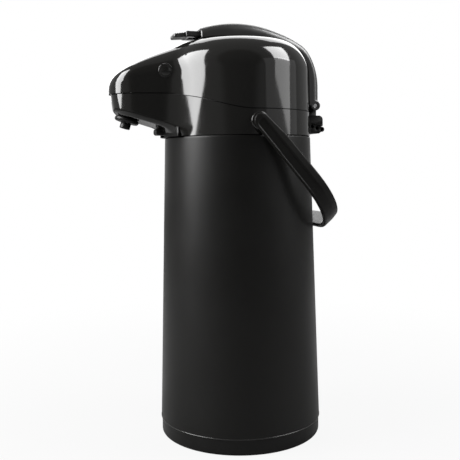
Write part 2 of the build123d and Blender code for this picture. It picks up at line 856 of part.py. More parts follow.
tab_front_x = drum_foot_radius + 1.2
tab_fall = tan(radians(bracket_slope))
tab_top_z = bracket_low_z - slide_gap + (2.4 - 1.2) * tab_fall
tab_low_z = head_base_z + bracket_foot_z
with BuildPart() as release_tab:
    with BuildSketch(Plane.XZ):
        with BuildLine():
            FilletPolyline(
                (tab_front_x, tab_top_z),
                (tab_front_x + tab_length, tab_top_z - tab_length * tab_fall),
                (tab_front_x + tab_length, tab_low_z + 2.4),
                (tab_front_x + tab_length - 3.0, tab_low_z),
                (tab_front_x, tab_low_z),
                radius=[0.6, 0, 1.0, 1.0, 1.2], close=True,
            )
        make_face()
        with Locations((tab_front_x + tab_length, tab_top_z - tab_length * tab_fall - tab_rib_radius - 0.2)):
            Circle(tab_rib_radius)
    extrude(amount=tab_half, both=True)
    with BuildSketch(Plane.XZ.offset(tab_half)):
        for rib in range(tab_rib_count):
            rib_x = tab_front_x + tab_length + (rib - tab_rib_count + 1) * tab_rib_pitch
            with Locations((rib_x, tab_top_z - (rib_x - tab_front_x) * tab_fall - tab_rib_radius - 0.2)):
                Circle(tab_rib_bore)
    extrude(amount=-tab_rib_depth, mode=Mode.SUBTRACT)
    with BuildSketch(Plane.XZ.offset(-tab_half)):
        for rib in range(tab_rib_count):
            rib_x = tab_front_x + tab_length + (rib - tab_rib_count + 1) * tab_rib_pitch
            with Locations((rib_x, tab_top_z - (rib_x - tab_front_x) * tab_fall - tab_rib_radius - 0.2)):
                Circle(tab_rib_bore)
    extrude(amount=tab_rib_depth, mode=Mode.SUBTRACT)

# Lid cover: dome and upper beak as one shell
stem_top_z = crown_z + presser_rise - slide_gap
lid_skin = lid_form(0)
lid_core = lid_form(head_wall)
lid_cut = under_seam(seam_gap)
plug_z = seam_beak_z + plug_rise
plug_y = beak_half_width(-plug_x)
plug_plane = Plane(
    (-plug_x, -plug_y, plug_z),
    x_dir=(cos(radians(beak_taper)), -sin(radians(beak_taper)), 0),
    z_dir=(-sin(radians(beak_taper)), -cos(radians(beak_taper)), 0),
)
guide_radius = stem_radius + slide_gap + guide_wall
with BuildPart() as lid_cover:
    add(lid_skin.part)
    add(lid_core.part, mode=Mode.SUBTRACT)
    with BuildSketch(Plane.XY.offset(plate_top_z + seat_gap)):
        with PolarLocations(lid_boss_circle, 4, start_angle=45):
            Circle(lid_boss_radius)
    extrude(amount=lid_boss_height)
    add(lid_cut.part, mode=Mode.SUBTRACT)
    with BuildSketch(Plane.XZ):
        with BuildLine():
            Polyline(
                (drum_seam_radius - 1.6, seam_z + 2.6), (hinge_x, hinge_z - lug_radius),
                (hinge_x, hinge_z + lug_radius), (drum_seam_radius - 1.6, hinge_z + 9.0), close=True,
            )
        make_face()
        with Locations((hinge_x, hinge_z)):
            Circle(lug_radius)
    extrude(amount=knuckle_half, both=True)
    with BuildSketch(Plane.XZ):
        with Locations((hinge_x, hinge_z)):
            Circle(hinge_pin_radius + pin_gap)
    extrude(amount=2 * knuckle_half, both=True, mode=Mode.SUBTRACT)
    with BuildSketch(Plane.XY.offset(crown_z - guide_depth - 6.0)):
        Circle(guide_radius + seat_gap)
    extrude(amount=guide_depth + 10.0, mode=Mode.SUBTRACT)
    with BuildSketch(plug_plane.offset(-2 * head_wall)):
        Circle(plug_shank_radius + seat_gap)
    extrude(amount=3 * head_wall, mode=Mode.SUBTRACT)
    with BuildSketch(Plane(
        (-plug_x, plug_y, plug_z),
        x_dir=(cos(radians(beak_taper)), sin(radians(beak_taper)), 0),
        z_dir=(-sin(radians(beak_taper)), cos(radians(beak_taper)), 0),
    ).offset(-2 * head_wall)):
        Circle(plug_shank_radius + seat_gap)
    extrude(amount=3 * head_wall, mode=Mode.SUBTRACT)
    with BuildSketch(Plane.XY.offset(plate_top_z)):
        with PolarLocations(lid_boss_circle, 4, start_angle=45):
            Circle(1.5)
    extrude(amount=lid_boss_height - 2.0, mode=Mode.SUBTRACT)

# Round plugs on the beak's sides
with BuildPart() as side_plugs:
    with BuildSketch(plug_plane.offset(slide_gap)):
        Circle(plug_radius)
    extrude(amount=plug_proud)
    fillet(side_plugs.faces().sort_by(Axis.Y)[0].edges(), 0.4)
    with BuildSketch(plug_plane.offset(slide_gap)):
        Circle(plug_shank_radius)
    extrude(amount=-head_wall - 1.0)
    mirror(about=Plane.XZ)

# Inner plate that closes the lid and carries the pump
with BuildPart() as lid_plate:
    with BuildSketch(Plane.XY.offset(plate_z)):
        Circle(plate_radius)
    extrude(amount=plate_thickness)
    with BuildSketch(Plane.XY.offset(plate_z)):
        Circle(2.0 + pin_gap)
        with PolarLocations(vent_hole_circle, 6):
            Circle(vent_hole_radius)
        with PolarLocations(lid_boss_circle, 4, start_angle=45):
            Circle(1.5 + seat_gap)
    extrude(amount=plate_thickness, mode=Mode.SUBTRACT)

lid_screws = screws(
    [
        Plane.XY.offset(plate_z) * Location(place.position)
        for place in PolarLocations(lid_boss_circle, 4, start_angle=45).local_locations
    ],
    2.6, 1.5, 1.35, plate_thickness + 6.0,
)

with BuildPart() as lid_gasket:
    with BuildSketch(Plane.XZ):
        with BuildLine():
            FilletPolyline(
                (mouth_radius - 0.5, mouth_rim_z + 0.15),
                (mouth_radius - 0.5 + gasket_width, mouth_rim_z + 0.15),
                (mouth_radius - 0.5 + gasket_width, plate_z - 1.4),
                (mouth_radius + 1.5 + gasket_width, plate_z - seat_gap),
                (mouth_radius - 2.5, plate_z - seat_gap),
                (mouth_radius - 0.5, plate_z - 1.4),
                radius=[0.8, 0.8, 0, 0, 0, 0], close=True,
            )
        make_face()
    revolve(axis=Axis.Z)

with BuildPart() as check_valve:
    with BuildSketch(Plane.XZ):
        with BuildLine():
            FilletPolyline(
                (0, plate_z - 1.6), (valve_radius, plate_z - 0.9), (valve_radius, plate_z - seat_gap),
                (2.0, plate_z - seat_gap), (2.0, plate_top_z + 0.2), (3.0, plate_top_z + 0.2),
                (0.8, plate_top_z + 2.4), (0, plate_top_z + 2.4),
                radius=[0, 0.3, 0.3, 0, 0, 0.4, 0.6, 0], close=True,
            )
        make_face()
    revolve(axis=Axis.Z)

# Hook on the lid, whose prongs the latch's teeth hold
prong_low_z = shank_top_z + slide_gap + 0.6
with BuildPart() as lid_hook:
    with BuildSketch(Plane.XY.offset(plate_z - seat_gap)):
        with Locations((prong_x + prong_thickness / 2, 0)):
            Rectangle(prong_thickness + 3.0, 2 * prong_far)
    extrude(amount=-2.4)
    with BuildSketch(Plane.XY.offset(plate_z - 1.0)):
        for side in (-1, 1):
            with Locations((prong_x + prong_thickness / 2, side * (prong_near + prong_far) / 2)):
                Rectangle(prong_thickness, prong_far - prong_near)
    extrude(amount=prong_low_z - plate_z + 1.0)

# Pump: bellows, return spring and plunger
fold_pitch = (bellows_height - 4.0) / bellows_folds
bellows_base_z = plate_top_z + seat_gap
bellows_top_z = plunger_z - seat_gap
waist_radius = bellows_radius - bellows_depth
outline = [(waist_radius + 2.0, bellows_base_z)]
for fold in range(bellows_folds):
    fold_z = bellows_base_z + 2.0 + fold * fold_pitch
    outline += [(waist_radius, fold_z), (bellows_radius, fold_z + fold_pitch / 2)]
outline += [(waist_radius, bellows_top_z - 2.0), (waist_radius + 2.0, bellows_top_z)]
lining = [(radius - bellows_wall, height) for radius, height in reversed(outline)]
with BuildPart() as bellows:
    with BuildSketch(Plane.XZ):
        with BuildLine():
            Polyline(*outline, *lining, close=True)
        make_face()
    revolve(axis=Axis.Z)

spring_height = bellows_height - 2 * spring_wire
with BuildPart() as return_spring:
    with BuildLine():
        coil = Helix(
            spring_height / spring_turns, spring_height, spring_radius,
            center=(0, 0, plate_top_z + spring_wire),
        )
    with BuildSketch(Plane(coil @ 0, z_dir=coil % 0)):
        Circle(spring_wire / 2)
    sweep()

with BuildPart() as pump_plunger:
    with BuildSketch(Plane.XY.offset(plunger_z)):
        Circle(plunger_plate_radius)
    extrude(amount=plunger_plate_thickness)
    with BuildSketch(Plane.XY.offset(plunger_z)):
        Circle(stem_radius)
    extrude(amount=stem_top_z - plunger_z)
    fillet(pump_plunger.faces().sort_by(Axis.Z)[-1].edges(), stem_top_round)

with BuildPart() as plunger_guide:
    with BuildSketch(Plane.XY.offset(crown_z - guide_depth)):
        Circle(guide_radius)
    extrude(amount=guide_depth + seat_gap)
    with BuildSketch(Plane.XY.offset(crown_z + seat_gap)):
        Circle(guide_radius + guide_flange)
    extrude(amount=guide_flange_thickness)
    with BuildSketch(Plane.XY.offset(crown_z - guide_depth)):
        Circle(stem_radius + pin_gap)
    extrude(amount=guide_depth + guide_flange_thickness + seat_gap, mode=Mode.SUBTRACT)
    chamfer(plunger_guide.faces().sort_by(Axis.Z)[-1].edges().sort_by(SortBy.RADIUS)[-1], 0.5)

# Lever: a channel-shaped strap that rises from the hinge and lies over the dome
lever_crest_z = crown_z + lever_crest
lever_centre_z = lever_crest_z - lever_arc_radius


def lever_outline(inset):
    """Side view of the lever's outer face, moved inwards by inset, down to its centre."""
    radius = lever_arc_radius - inset
    back = lever_back_x - inset
    nose_z = lever_centre_z + sqrt(radius**2 - (lever_nose_x - lever_arc_centre_x) ** 2)
    corner_z = lever_centre_z + sqrt(radius**2 - (back - lever_arc_centre_x) ** 2)
    top_z = lever_centre_z + radius
    with BuildSketch(Plane.XZ) as side:
        with BuildLine():
            arc = ThreePointArc((lever_nose_x, nose_z), (lever_arc_centre_x, top_z), (back, corner_z))
            wall = Line(arc @ 1, (back, hinge_z))
            base = Line(wall @ 1, (lever_nose_x, hinge_z))
            Line(base @ 1, arc @ 0)
        make_face()
        fillet(side.vertices().sort_by_distance((back, corner_z))[0], lever_back_round - inset)
    return side.sketch


dome_fence = drum(-lever_to_dome)
beak_fence = upper_beak(-lever_to_dome)
lever_side = lever_outline(0)
lever_hollow = lever_outline(lever_wall)
presser_z = crown_z + presser_rise
with BuildPart() as lever_arm:
    add(extrude(lever_side, amount=lever_half, both=True, mode=Mode.PRIVATE))
    rim = lever_arm.edges().filter_by(lambda e: abs(abs(e.center().Y) - lever_half) < 0.01)
    upper_rim = rim.filter_by(lambda e: e.center().Z > hinge_z + 15.0)
    fillet(upper_rim.filter_by(lambda e: e.center().X > lever_nose_x + 1.0), lever_edge_round)
    add(extrude(lever_hollow, amount=lever_half - lever_wall, both=True, mode=Mode.PRIVATE), mode=Mode.SUBTRACT)
    with BuildSketch(Plane.XY.offset(presser_z)):
        Circle(presser_radius)
    extrude(amount=lever_crest - presser_rise - 1.0)
    with BuildSketch(Plane.XZ):
        with Locations((hinge_x, hinge_z)):
            Circle(ear_radius)
    extrude(amount=lever_half, both=True)
    with BuildSketch(Plane.XZ):
        with Locations((hinge_x, hinge_z)):
            Circle(ear_radius + 1.4)
    extrude(amount=lug_out + slide_gap, both=True, mode=Mode.SUBTRACT)
    with BuildSketch(Plane.XZ):
        with Locations((hinge_x, hinge_z)):
            Circle(hinge_pin_radius + pin_gap)
    extrude(amount=2 * lever_half, both=True, mode=Mode.SUBTRACT)
    add(dome_fence.part, mode=Mode.SUBTRACT)
    add(beak_fence.part, mode=Mode.SUBTRACT)

# Lever lock: a slide in the lever's nose with a thumb tab in front
lock_z = crown_z - 1.4
lock_top_z = lock_z + lock_height
catch_x = lock_front_x + 6.5
with BuildPart() as lever_lock:
    with BuildSketch(Plane.XY.offset(lock_z)):
        with Locations(((lock_front_x + lock_back_x) / 2, 0)):
            Rectangle(lock_back_x - lock_front_x, 2 * lock_half)
        with Locations(((catch_x + catch_head + lock_travel) - 1.0, 0)):
            Rectangle(2 * catch_head + 2 * lock_travel + 2.0, 2 * catch_half + 2.0, mode=Mode.SUBTRACT)
    extrude(amount=lock_height)
    fillet(lever_lock.edges().filter_by(Axis.Y).group_by(Axis.Z)[-1], 1.2)
    with BuildSketch(Plane.XZ):
        with BuildLine():
            FilletPolyline(
                (lock_front_x + 1.0, lock_z + 0.4),
                (lock_front_x - thumb_reach, lock_z - 0.8),
                (lock_front_x - thumb_reach, lock_z + thumb_thickness - 1.2),
                (lock_front_x + 1.0, lock_z + thumb_thickness + 0.6),
                radius=[0, 1.8, 1.8, 0], close=True,
            )
        make_face()
    extrude(amount=thumb_half, both=True)

# Catch on the dome that the lock's slide runs under
with BuildPart() as lock_catch:
    with BuildSketch(Plane.XZ):
        with BuildLine():
            Polyline(
                (catch_x + catch_head, crown_z - 12.0),
                (catch_x + catch_head + catch_post, crown_z - 12.0),
                (catch_x + catch_head + catch_post, lock_top_z - 0.4),
                (catch_x + 2.0, lock_top_z - 0.4),
                (catch_x + 2.0, lock_top_z - 1.8),
                (catch_x + catch_head, lock_top_z - 1.8),
                close=True,
            )
        make_face()
    extrude(amount=catch_half, both=True)
    add(dome_fence.part, mode=Mode.SUBTRACT)

# Bail handle: a strap with a round eye and a trunnion at each end, resting by the shell's back
bail_tilt = radians(bail_angle)
rest_height = pivot_z - bail_rest_drop - foot_height
rest_radius = shell_bottom_radius - shell_draft * rest_height + bail_rest_gap
bail_reach = (rest_radius + bail_lower * sin(bail_tilt)) / cos(bail_tilt) + bail_thickness
bail_along = (cos(bail_tilt), 0, -sin(bail_tilt))
bail_plane = Plane((0, 0, pivot_z), x_dir=bail_along, z_dir=(sin(bail_tilt), 0, cos(bail_tilt)))
bail_side = Plane((0, 0, pivot_z), x_dir=bail_along, z_dir=(0, -1, 0))
bail_outer_half = bail_inner_half + bail_thickness
with BuildPart() as handle:
    with BuildSketch(bail_plane):
        with BuildLine():
            FilletPolyline(
                (-bail_eye_radius - 1.0, bail_outer_half),
                (bail_reach, bail_outer_half),
                (bail_reach, -bail_outer_half),
                (-bail_eye_radius - 1.0, -bail_outer_half),
                radius=[0, bail_corner, bail_corner, 0], close=True,
            )
        make_face()
        with BuildLine():
            FilletPolyline(
                (-bail_eye_radius - 2.0, bail_inner_half),
                (bail_reach - bail_thickness, bail_inner_half),
                (bail_reach - bail_thickness, -bail_inner_half),
                (-bail_eye_radius - 2.0, -bail_inner_half),
                radius=[0, bail_corner - bail_thickness, bail_corner - bail_thickness, 0], close=True,
            )
        make_face(mode=Mode.SUBTRACT)
    extrude(amount=2 * bail_upper, both=True)
    with BuildSketch(bail_side):
        with BuildLine():
            Polyline(
                (0, bail_eye_radius), (bail_upper_start, bail_upper), (bail_reach + 1.0, bail_upper),
                (bail_reach + 1.0, -bail_lower), (bail_lower_start, -bail_lower), (0, -bail_eye_radius),
                close=True,
            )
        make_face()
        Circle(bail_eye_radius)
    extrude(amount=2 * bail_outer_half, both=True, mode=Mode.INTERSECT)
    with BuildSketch(Plane.XZ.offset(-bail_inner_half - 1.0)):
        with Locations((0, pivot_z)):
            Circle(trunnion_radius)
    extrude(amount=trunnion_length, mode=Mode.ADD)
    with BuildSketch(Plane.XZ.offset(bail_inner_half + 1.0)):
        with Locations((0, pivot_z)):
            Circle(trunnion_radius)
    extrude(amount=-trunnion_length, mode=Mode.ADD)

pieces = {
    "foot_ring": foot_ring,
    "base_plate": base_plate,
    "base_screws": base_screws,
    "liner_cup": liner_cup,
    "outer_shell": outer_shell,
    "liner_outer": liner_outer,
    "liner_inner": liner_inner,
    "neck_seal": neck_seal,
    "collar": collar,
    "siphon_tube": siphon_tube,
    "stop_valve": stop_valve,
    "stop_ball": stop_ball,
    "tube_elbow": tube_elbow,
    "elbow_grommet": elbow_grommet,
    "spout_pipe": spout_pipe,
    "nozzle_base": nozzle_base,
    "nozzle_tip": nozzle_tip,
    "latch_guard": latch_guard,
    "latch_button": latch_button,
    "hinge_bracket": hinge_bracket,
    "bracket_screws": bracket_screws,
    "hinge_pin": hinge_pin,
    "release_tab": release_tab,
    "lid_cover": lid_cover,
    "side_plugs": side_plugs,
    "lid_plate": lid_plate,
    "lid_screws": lid_screws,
    "lid_gasket": lid_gasket,
    "check_valve": check_valve,
    "lid_hook": lid_hook,
    "bellows": bellows,
    "return_spring": return_spring,
    "pump_plunger": pump_plunger,
    "plunger_guide": plunger_guide,
    "lever_arm": lever_arm,
    "lever_lock": lever_lock,
    "lock_catch": lock_catch,
    "handle": handle,
}
for name, piece in pieces.items():
    piece.part.label = name
    export_step(piece.part, f"parts/{name}.step")
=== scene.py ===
import json
import math

import bmesh
import bpy
import numpy as np
from mathutils import Matrix, Vector


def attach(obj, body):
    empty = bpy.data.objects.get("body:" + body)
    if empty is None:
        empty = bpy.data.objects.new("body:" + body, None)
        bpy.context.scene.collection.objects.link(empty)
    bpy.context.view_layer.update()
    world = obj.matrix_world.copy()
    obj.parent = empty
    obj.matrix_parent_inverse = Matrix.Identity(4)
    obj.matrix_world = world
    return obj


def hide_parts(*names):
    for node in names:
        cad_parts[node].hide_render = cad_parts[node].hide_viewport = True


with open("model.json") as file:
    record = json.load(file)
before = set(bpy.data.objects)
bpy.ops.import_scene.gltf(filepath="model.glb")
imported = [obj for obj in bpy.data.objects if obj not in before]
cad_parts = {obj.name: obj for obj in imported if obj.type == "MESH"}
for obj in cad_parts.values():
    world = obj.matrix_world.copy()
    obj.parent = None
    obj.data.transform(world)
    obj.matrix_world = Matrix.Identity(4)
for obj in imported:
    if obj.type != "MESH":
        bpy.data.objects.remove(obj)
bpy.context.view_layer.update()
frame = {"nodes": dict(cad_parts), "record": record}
nodes = frame["nodes"]
MM = 0.001
WELD = 0.000002
CUT = 0.000001
NOISE_LOW, NOISE_HIGH = 0.3, 0.7


# Helpers for materials
def add_node(tree, kind, **values):
    made = tree.nodes.new(kind)
    for key, value in values.items():
        setattr(made, key, value)
    return made


def material(name, colour, roughness, metallic=0.0, specular=0.5):
    mat = bpy.data.materials.new(name)
    mat.use_nodes = True
    shader = mat.node_tree.nodes["Principled BSDF"]
    shader.inputs["Base Color"].default_value = (*colour, 1.0)
    shader.inputs["Roughness"].default_value = roughness
    shader.inputs["Metallic"].default_value = metallic
    shader.inputs["Specular IOR Level"].default_value = specular
    return mat


def texture(mat, scale, detail=4.0, stretch=(1.0, 1.0, 1.0)):
    """Noise in the object's own space, with scale in features per metre."""
    tree = mat.node_tree
    coords = add_node(tree, "ShaderNodeTexCoord")
    mapping = add_node(tree, "ShaderNodeMapping")
    mapping.inputs["Scale"].default_value = stretch
    noise = add_node(tree, "ShaderNodeTexNoise")
    noise.inputs["Scale"].default_value = scale
    noise.inputs["Detail"].default_value = detail
    tree.links.new(coords.outputs["Object"], mapping.inputs["Vector"])
    tree.links.new(mapping.outputs["Vector"], noise.inputs["Vector"])
    return noise


def add_bump(mat, noise, strength, distance):
    """Raises the surface by noise, over a distance in metres."""
    tree = mat.node_tree
    bump = add_node(tree, "ShaderNodeBump")
    bump.inputs["Strength"].default_value = strength
    bump.inputs["Distance"].default_value = distance
    tree.links.new(noise.outputs["Fac"], bump.inputs["Height"])
    tree.links.new(bump.outputs["Normal"], tree.nodes["Principled BSDF"].inputs["Normal"])


def vary_roughness(mat, noise, low, high):
    """Turns noise into a roughness between low and high."""
    tree = mat.node_tree
    ramp = add_node(tree, "ShaderNodeMapRange")
    ramp.inputs["From Min"].default_value = NOISE_LOW
    ramp.inputs["From Max"].default_value = NOISE_HIGH
    ramp.inputs["To Min"].default_value = low
    ramp.inputs["To Max"].default_value = high
    tree.links.new(noise.outputs["Fac"], ramp.inputs["Value"])
    tree.links.new(ramp.outputs["Result"], tree.nodes["Principled BSDF"].inputs["Roughness"])


def vary_colour(mat, noise, dark, light):
    """Turns noise into a colour between dark and light."""
    tree = mat.node_tree
    ramp = add_node(tree, "ShaderNodeValToRGB")
    first, last = ramp.color_ramp.elements
    first.position, last.position = NOISE_LOW, NOISE_HIGH
    first.color, last.color = (*dark, 1.0), (*light, 1.0)
    tree.links.new(noise.outputs["Fac"], ramp.inputs["Fac"])
    tree.links.new(ramp.outputs["Color"], tree.nodes["Principled BSDF"].inputs["Base Color"])


# Glossy black of the head
gloss = material("gloss_black", (0.007, 0.0068, 0.0062), 0.09)
vary_roughness(gloss, texture(gloss, 45.0, 3.0), 0.06, 0.1)
add_bump(gloss, texture(gloss, 160.0, 2.0), 0.05, 0.00003)

# Matte black of the small mouldings
moulded = material("matte_black", (0.0045, 0.0044, 0.0041), 0.36, specular=0.24)
vary_roughness(moulded, texture(moulded, 90.0, 5.0), 0.31, 0.42)
vary_colour(moulded, texture(moulded, 35.0), (0.004, 0.0039, 0.0036), (0.0052, 0.0051, 0.0048))
add_bump(moulded, texture(moulded, 2600.0, 2.0), 0.12, 0.00003)

# Satin black of the lever and its lock
satin = material("satin_black", (0.008, 0.0078, 0.0074), 0.32, specular=0.8)
vary_roughness(satin, texture(satin, 60.0), 0.28, 0.36)
add_bump(satin, texture(satin, 1500.0, 2.0), 0.04, 0.00002)

# Duller black of the bail
grip = material("grip_black", (0.008, 0.0078, 0.0072), 0.36, specular=0.1)
vary_roughness(grip, texture(grip, 90.0, 5.0), 0.31, 0.42)
vary_colour(grip, texture(grip, 35.0), (0.0072, 0.007, 0.0065), (0.0088, 0.0086, 0.008))
add_bump(grip, texture(grip, 2600.0, 2.0), 0.12, 0.00003)

# Powder coat of the shell, and the smoother, lighter black on its rolled hem, which is a painted highlight
# along the lower edge
powder = material("powder_coat", (0.004, 0.0039, 0.0036), 0.36, specular=0.24)
vary_roughness(powder, texture(powder, 30.0), 0.33, 0.39)
vary_colour(powder, texture(powder, 18.0, 5.0), (0.0043, 0.0042, 0.0038), (0.0055, 0.0053, 0.0049))
add_bump(powder, texture(powder, 1700.0, 3.0), 0.35, 0.00008)

# The hem's lighter base colour is a painted highlight where the lower edge catches light
painted_hem_highlight = material("painted_hem_highlight", (0.013, 0.0127, 0.012), 0.28)
vary_roughness(painted_hem_highlight, texture(painted_hem_highlight, 60.0), 0.22, 0.3)
add_bump(painted_hem_highlight, texture(painted_hem_highlight, 1700.0, 3.0), 0.1, 0.00003)

# Metals
steel = material("brushed_steel", (0.62, 0.61, 0.6), 0.28, metallic=1.0)
vary_roughness(steel, texture(steel, 900.0, 3.0, (1.0, 1.0, 0.02)), 0.2, 0.38)

pin_steel = material("polished_steel", (0.72, 0.72, 0.73), 0.14, metallic=1.0)
vary_roughness(pin_steel, texture(pin_steel, 500.0), 0.1, 0.2)

zinc = material("zinc_plate", (0.5, 0.5, 0.49), 0.35, metallic=1.0)
vary_roughness(zinc, texture(zinc, 400.0), 0.28, 0.45)

# Rubbers and the milky plastic inside the lid
rubber = material("seal_rubber", (0.46, 0.45, 0.43), 0.6)
vary_colour(rubber, texture(rubber, 120.0), (0.42, 0.41, 0.39), (0.49, 0.48, 0.46))
add_bump(rubber, texture(rubber, 900.0), 0.2, 0.00005)

dark_rubber = material("dark_rubber", (0.03, 0.03, 0.03), 0.7)
add_bump(dark_rubber, texture(dark_rubber, 900.0), 0.3, 0.00008)

milky = material("inner_plastic", (0.5, 0.5, 0.48), 0.38)
vary_colour(milky, texture(milky, 40.0), (0.46, 0.46, 0.44), (0.53, 0.53, 0.51))
add_bump(milky, texture(milky, 1400.0), 0.12, 0.00004)

by_slot = {
    "gloss_black": gloss,
    "matte_black": moulded,
    "shell_paint": powder,
    "inner_steel": steel,
    "pin_steel": pin_steel,
    "screw_steel": zinc,
    "seal_rubber": rubber,
    "cup_rubber": dark_rubber,
    "inner_plastic": milky,
}


def dress(obj, mat):
    obj.data.materials.clear()
    obj.data.materials.append(mat)


def soften(obj, width):
    """Small rounded edges and smooth shading, as modifiers that leave the mesh itself alone."""
    weld = obj.modifiers.new("weld", "WELD")
    weld.merge_threshold = WELD
    bevel = obj.modifiers.new("bevel", "BEVEL")
    bevel.width = width
    bevel.segments = 2
    bevel.limit_method = "ANGLE"
    bevel.angle_limit = math.radians(28.0)
    bevel.harden_normals = True
    obj.data.shade_smooth()


# The pieces that the frame brings
for part in frame["record"]["subparts"]:
    dress(nodes[part["node"]], by_slot[part["material_slot"]])
moulding_edge = 0.25
for name in ("latch_guard", "latch_button", "hinge_bracket", "release_tab", "nozzle_base", "nozzle_tip"):
    soften(nodes[name], moulding_edge * MM)


# Helpers for meshes
def mesh_object(name, verts, faces, mat, body):
    mesh = bpy.data.meshes.new(name)
    mesh.from_pydata([tuple(v) for v in verts], [], [tuple(f) for f in faces])
    mesh.validate()
    mesh.update()
    obj = bpy.data.objects.new(name, mesh)
    bpy.context.scene.collection.objects.link(obj)
    dress(obj, mat)
    mesh.shade_smooth()
    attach(obj, body)
    return obj


def lathe(name, outline, mat, body, count, place=Matrix(), closed=True):
    """Turns an outline of (radius, height) in millimetres about the Z axis, then sets it in its place."""
    ring = len(outline)
    verts, faces = [], []
    for i in range(count):
        a = 2 * math.pi * i / count
        for r, h in outline:
            verts.append(place @ (Vector((r * math.cos(a), r * math.sin(a), h)) * MM))
    for i in range(count):
        for j in range(ring if closed else ring - 1):
            k = (j + 1) % ring
            n = (i + 1) % count
            faces.append((i * ring + j, n * ring + j, n * ring + k, i * ring + k))
    obj = mesh_object(name, verts, faces, mat, body)
    work = bmesh.new()
    work.from_mesh(obj.data)
    bmesh.ops.remove_doubles(work, verts=work.verts, dist=WELD)
    bmesh.ops.recalc_face_normals(work, faces=work.faces)
    work.to_mesh(obj.data)
    work.free()
    return obj


# Distances, in millimetres: negative inside a form, zero on its surface
def meet(a, b, r):
    """Where both distances must hold, with the edge between them rounded."""
    return np.minimum(np.maximum(a, b), -r) + np.hypot(np.maximum(a + r, 0), np.maximum(b + r, 0))


def join(a, b, r):
    """Where either distance may hold, with the corner between them filled to a radius."""
    return np.maximum(np.minimum(a, b), r) - np.hypot(np.maximum(r - a, 0), np.maximum(r - b, 0))


def slab(value, low, high):
    """Distance from the space between two values."""
    return np.maximum(low - value, value - high)


def step(x, low, high):
    """Rises smoothly from 0 at low to 1 at high."""
    t = np.clip((x - low) / (high - low), 0, 1)
    return t * t * (3 - 2 * t)


def gradient(distance, points, h=0.05):
    """Unit direction in which a distance grows fastest."""
    parts = []
    for axis in range(3):
        shift = np.zeros(3)
        shift[axis] = h
        parts.append(distance(*(points + shift).T) - distance(*(points - shift).T))
    g = np.stack(parts, 1)
    return g / (np.linalg.norm(g, axis=1, keepdims=True) + 1e-9)


def surface(distance, low, high, cell):
    """Quads on the distance's zero level, with their corners moved exactly onto it."""
    axes = [np.arange(a, b + cell, cell) for a, b in zip(low, high)]
    inside = distance(*np.meshgrid(*axes, indexing="ij")) < 0
    corners = sum(
        inside[i:inside.shape[0] - 1 + i, j:inside.shape[1] - 1 + j, k:inside.shape[2] - 1 + k].astype(int)
        for i in (0, 1) for j in (0, 1) for k in (0, 1)
    )
    mixed = (corners > 0) & (corners < 8)
    index = -np.ones(mixed.shape, int)
    index[mixed] = np.arange(mixed.sum())
    points = np.array(low) + (np.argwhere(mixed) + 0.5) * cell
    for _ in range(6):
        here = distance(*points.T)
        points = points - np.clip(here, -cell, cell)[:, None] * gradient(distance, points)
    faces = []
    for axis in range(3):
        a = np.take(inside, range(inside.shape[axis] - 1), axis)
        b = np.take(inside, range(1, inside.shape[axis]), axis)
        crossing = np.argwhere(a != b)
        u, v = [(1, 2), (2, 0), (0, 1)][axis]
        good = (crossing[:, u] > 0) & (crossing[:, v] > 0)
        good &= (crossing[:, u] < inside.shape[u] - 1) & (crossing[:, v] < inside.shape[v] - 1)
        crossing = crossing[good]
        outwards = a[tuple(crossing.T)]
        quads = []
        for du, dv in ((-1, -1), (0, -1), (0, 0), (-1, 0)):
            at = crossing.copy()
            at[:, u] += du
            at[:, v] += dv
            quads.append(index[tuple(at.T)])
        quads = np.stack(quads, 1)
        quads[~outwards] = quads[~outwards][:, ::-1]
        faces.append(quads[(quads >= 0).all(1)])
    return points, np.concatenate(faces)


def form(name, distance, low, high, cell, body, mat, place=None):
    """A moulded piece from its distance, in its own frame if place is given."""
    points, faces = surface(distance, low, high, cell * (1.0))
    points = points * MM
    if place is not None:
        points = points @ np.array(place.to_3x3()).T + np.array(place.to_translation())
    return mesh_object(name, points, faces, mat, body)


def head_shell(name, distance, low, high, cell, cuts, body, mat, wall):
    """A thin moulded wall on a distance's zero level, cut along curved heights and thickened inwards."""
    points, faces = surface(distance, low, high, cell)
    mesh = bpy.data.meshes.new(name)
    mesh.from_pydata((points * MM).tolist(), [], faces.tolist())
    work = bmesh.new()
    work.from_mesh(mesh)
    for height, keep_above in cuts:
        for v in work.verts:
            v.co.z -= height(v.co.x / MM) * MM
        bmesh.ops.bisect_plane(
            work, geom=work.verts[:] + work.edges[:] + work.faces[:], plane_co=Vector((0, 0, 0)),
            plane_no=Vector((0, 0, -1 if keep_above else 1)), clear_outer=True, dist=CUT,
        )
        for v in work.verts:
            v.co.z += height(v.co.x / MM) * MM
    work.to_mesh(mesh)
    work.free()
    obj = bpy.data.objects.new(name, mesh)
    bpy.context.scene.collection.objects.link(obj)
    dress(obj, mat)
    mesh.shade_smooth()
    thick = obj.modifiers.new("wall", "SOLIDIFY")
    thick.thickness = wall * MM
    thick.offset = -1.0
    thick.use_rim = True
    crisp = obj.modifiers.new("crisp", "EDGE_SPLIT")
    crisp.split_angle = math.radians(40)
    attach(obj, body)
    return obj


def open_box(obj, low, high):
    """Cuts a box-shaped opening, with straight edges, through a skin."""
    low, high = Vector(low) * MM, Vector(high) * MM
    margin = 0.003
    work = bmesh.new()
    work.from_mesh(obj.data)
    for axis in range(3):
        for place, sign in ((low, -1), (high, 1)):
            normal = Vector((0, 0, 0))
            normal[axis] = sign
            near = [
                f for f in work.faces
                if all(low[i] - margin < f.calc_center_median()[i] < high[i] + margin for i in range(3))
            ]
            edges = list({e for f in near for e in f.edges})
            verts = list({v for f in near for v in f.verts})
            bmesh.ops.bisect_plane(work, geom=verts + edges + near, plane_co=place, plane_no=normal, dist=CUT)
    inside = [f for f in work.faces if all(low[i] < f.calc_center_median()[i] < high[i] for i in range(3))]
    bmesh.ops.delete(work, geom=inside, context="FACES")
    work.to_mesh(obj.data)
    work.free()


